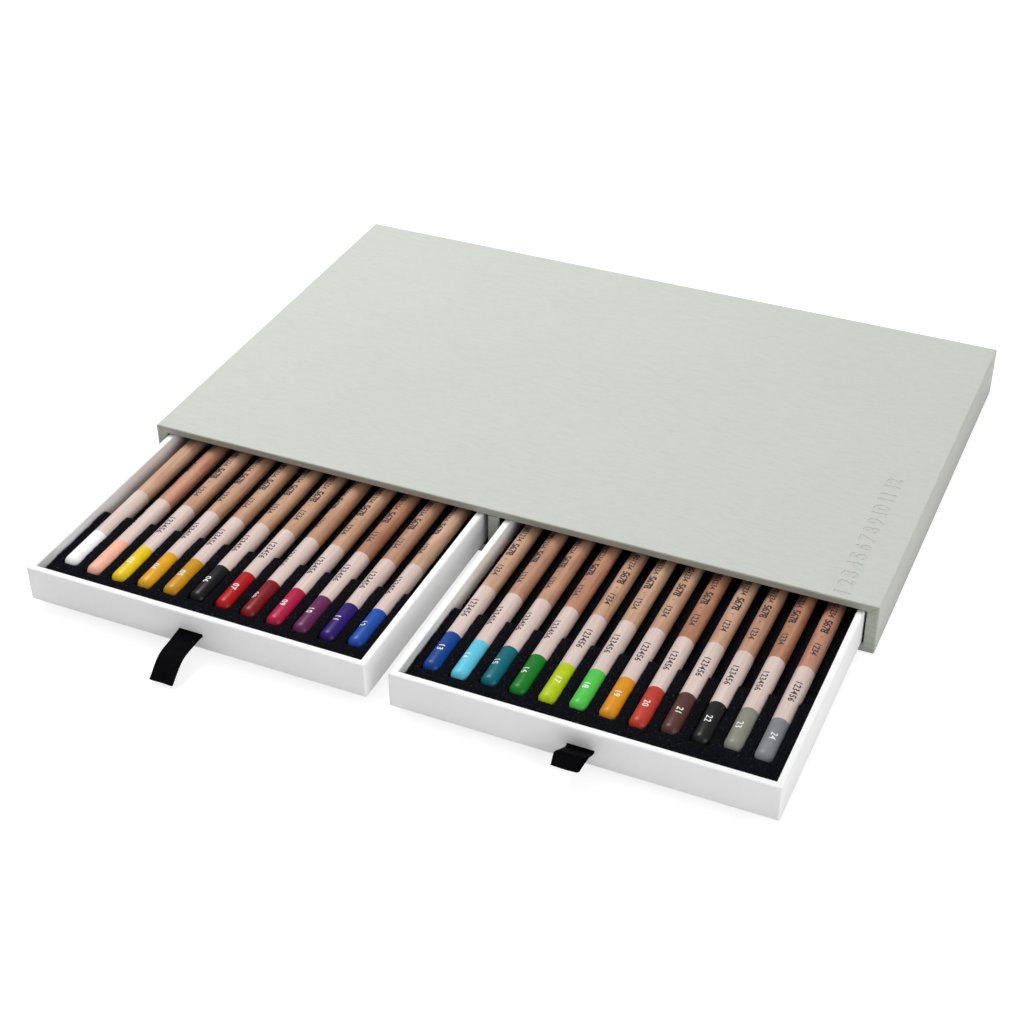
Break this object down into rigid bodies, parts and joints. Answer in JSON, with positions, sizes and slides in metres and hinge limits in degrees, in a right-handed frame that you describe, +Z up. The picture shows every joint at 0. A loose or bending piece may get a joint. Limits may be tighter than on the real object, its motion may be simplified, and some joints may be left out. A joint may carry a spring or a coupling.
{
  "type": "pastel drawer box",
  "caption": "Flat wrapped-board sleeve with side-by-side drawers that hold round pastel pencils in slotted foam.",
  "frame": {"origin": "centre of the sleeve's underside", "axes": "+Z up, -Y the way the drawers pull out, +X to the right as seen from the drawers' side"},
  "size_m": [0.34, 0.3522, 0.024],
  "materials": {
    "greyboard": "matte",
    "sleeve_paper": "matte",
    "lining_paper": "matte",
    "drawer_paper": "matte",
    "foam": "matte",
    "ribbon": "satin",
    "pastel": "matte",
    "cedar": "satin"
  },
  "bodies": {
    "sleeve": {"sleeve_top_board": "greyboard", "sleeve_bottom_board": "greyboard", "sleeve_left_board": "greyboard", "sleeve_right_board": "greyboard", "sleeve_back_board": "greyboard", "sleeve_divider_board": "greyboard", "sleeve_cover_paper": "sleeve_paper", "sleeve_base_sheet": "sleeve_paper", "left_bay_liner": "lining_paper", "right_bay_liner": "lining_paper", "divider_cover_paper": "sleeve_paper"},
    "left_drawer": {"left_drawer_floor_board": "greyboard", "left_drawer_front_board": "greyboard", "left_drawer_back_board": "greyboard", "left_drawer_left_board": "greyboard", "left_drawer_right_board": "greyboard", "left_drawer_cover_paper": "drawer_paper", "left_drawer_base_sheet": "drawer_paper", "left_foam_base": "foam", "left_foam_front_rack": "foam", "left_foam_rear_rack": "foam", "left_pull_ribbon": "ribbon", "left_pencil_cores": "pastel", "left_pencil_01": "cedar", "left_pencil_02": "cedar", "left_pencil_03": "cedar", "left_pencil_04": "cedar", "left_pencil_05": "cedar", "left_pencil_06": "cedar", "left_pencil_07": "cedar", "left_pencil_08": "cedar", "left_pencil_09": "cedar", "left_pencil_10": "cedar", "left_pencil_11": "cedar", "left_pencil_12": "cedar"},
    "right_drawer": {"right_drawer_floor_board": "greyboard", "right_drawer_front_board": "greyboard", "right_drawer_back_board": "greyboard", "right_drawer_left_board": "greyboard", "right_drawer_right_board": "greyboard", "right_drawer_cover_paper": "drawer_paper", "right_drawer_base_sheet": "drawer_paper", "right_foam_base": "foam", "right_foam_front_rack": "foam", "right_foam_rear_rack": "foam", "right_pull_ribbon": "ribbon", "right_pencil_cores": "pastel", "right_pencil_01": "cedar", "right_pencil_02": "cedar", "right_pencil_03": "cedar", "right_pencil_04": "cedar", "right_pencil_05": "cedar", "right_pencil_06": "cedar", "right_pencil_07": "cedar", "right_pencil_08": "cedar", "right_pencil_09": "cedar", "right_pencil_10": "cedar", "right_pencil_11": "cedar", "right_pencil_12": "cedar"}
  },
  "joints": [
    {"name": "left_drawer_slide", "type": "slide", "parent": "sleeve", "child": "left_drawer", "axis": [0, -1, 0], "range_m": [-0.1096, 0.0904]},
    {"name": "right_drawer_slide", "type": "slide", "parent": "sleeve", "child": "right_drawer", "axis": [0, -1, 0], "range_m": [-0.11, 0.09]}
  ]
}
